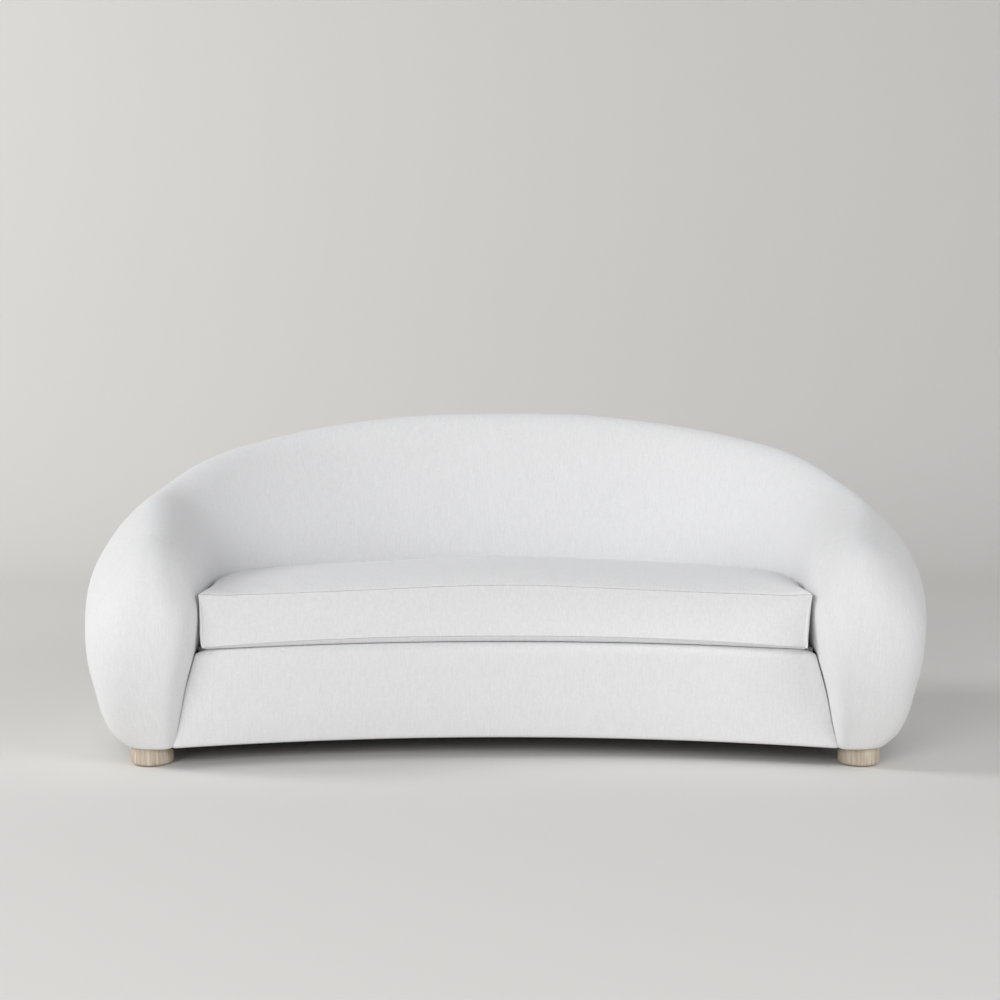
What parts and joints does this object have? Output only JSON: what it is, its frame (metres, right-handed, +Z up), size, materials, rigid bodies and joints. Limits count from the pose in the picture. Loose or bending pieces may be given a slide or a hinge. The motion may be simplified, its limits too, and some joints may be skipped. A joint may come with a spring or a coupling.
{
  "type": "curved sofa",
  "caption": "Curved sofa with a wrap-around rounded back and arms, a loose bench cushion, a padded front border and low round wooden feet, in nubby off-white cloth.",
  "frame": {"origin": "on the floor, under the middle of the outer box", "axes": "+X to the right of someone who faces the sofa, +Y towards its back, +Z up"},
  "size_m": [2.13, 1.03, 0.83],
  "materials": {
    "cover_cloth": "nubby woven cloth with slubs, matt",
    "dust_cloth": "non-woven, matt",
    "foam": "open-cell foam, matt",
    "fibre_wrap": "soft fibre wadding",
    "webbing": "woven elastic webbing",
    "zip_nylon": "satin",
    "zip_metal": "satin",
    "bolt_steel": "zinc plated",
    "birch_ply": "sawn plywood, bare",
    "pine": "planed softwood, bare",
    "washed_oak": "turned, pale washed, matt",
    "felt": "pressed felt"
  },
  "bodies": {
    "frame": {"base_board_left": "birch_ply", "base_board_back": "birch_ply", "base_board_right": "birch_ply", "rib_middle": "birch_ply", "rib_left_1": "birch_ply", "rib_left_2": "birch_ply", "rib_left_3": "birch_ply", "rib_left_4": "birch_ply", "rib_right_1": "birch_ply", "rib_right_2": "birch_ply", "rib_right_3": "birch_ply", "rib_right_4": "birch_ply", "top_rail": "birch_ply", "seat_rail_left": "pine", "seat_rail_back": "pine", "seat_rail_right": "pine", "front_rail": "pine", "stretcher_left": "pine", "stretcher_right": "pine", "foot_block_front_left": "pine", "foot_block_front_right": "pine", "foot_block_rear_left": "pine", "foot_block_rear_right": "pine", "long_web_1": "webbing", "long_web_2": "webbing", "long_web_3": "webbing", "long_web_4": "webbing", "long_web_5": "webbing", "cross_web_1": "webbing", "cross_web_2": "webbing", "shell_cover": "cover_cloth", "arm_foam_left": "foam", "back_foam_left": "foam", "back_foam_middle": "foam", "back_foam_right": "foam", "arm_foam_right": "foam", "front_border_foam": "foam", "front_border_cover": "cover_cloth", "deck_pad": "foam", "deck_cloth": "cover_cloth", "dust_cover": "dust_cloth", "foot_front_left": "washed_oak", "foot_front_right": "washed_oak", "foot_rear_left": "washed_oak", "foot_rear_right": "washed_oak", "foot_bolt_front_left": "bolt_steel", "foot_bolt_front_right": "bolt_steel", "foot_bolt_rear_left": "bolt_steel", "foot_bolt_rear_right": "bolt_steel", "glide_front_left": "felt", "glide_front_right": "felt", "glide_rear_left": "felt", "glide_rear_right": "felt"},
    "seat_cushion": {"cushion_cover": "cover_cloth", "cushion_wrap": "fibre_wrap", "cushion_core": "foam", "zip_tape": "zip_nylon"},
    "zip_slider": {"zip_slider": "zip_metal"},
    "zip_pull": {"zip_pull": "zip_metal"}
  },
  "joints": [
    {"name": "cushion_lift", "type": "slide", "parent": "frame", "child": "seat_cushion", "axis": [0, 0, 1], "range_m": [0, 0.45]},
    {"name": "zip_run", "type": "hinge", "parent": "seat_cushion", "child": "zip_slider", "pos_m": [0, -1.43731, 0.3515], "axis": [0, 0, 1], "range_deg": [0, 26.06]},
    {"name": "zip_pull_swing", "type": "hinge", "parent": "zip_slider", "child": "zip_pull", "pos_m": [0.38387, 0.22078, 0.3515], "axis": [0.2255, 0.9742, 0], "range_deg": [-75, 75]}
  ]
}
